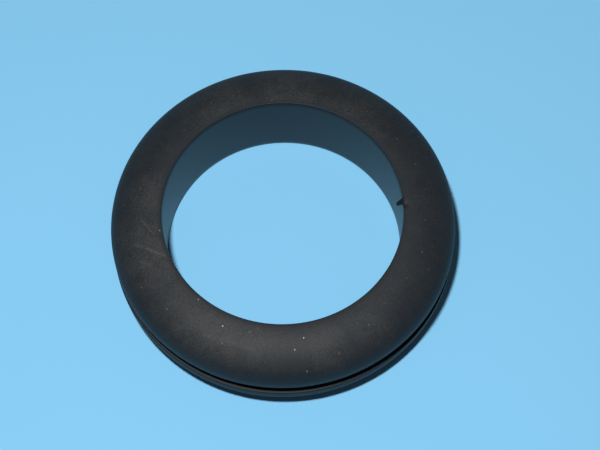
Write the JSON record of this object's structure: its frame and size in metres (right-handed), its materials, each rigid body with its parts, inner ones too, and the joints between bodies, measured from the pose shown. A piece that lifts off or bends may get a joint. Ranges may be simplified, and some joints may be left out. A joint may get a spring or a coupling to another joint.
{
  "type": "rubber cable grommet",
  "caption": "Round rubber cable grommet: two domed flanges either side of a narrow panel groove, with a wide straight bore through the middle.",
  "frame": {"origin": "centre of the lower face, on the ring's axis, where the grommet rests", "axes": "+Z along the ring's axis, out of the bore's upper end; the ring is round, so X and Y are free"},
  "size_m": [0.0552, 0.0552, 0.0144],
  "materials": {
    "rubber": "matte moulded black rubber with a faint dusty bloom"
  },
  "bodies": {
    "root": {"grommet": "rubber"}
  },
  "joints": []
}
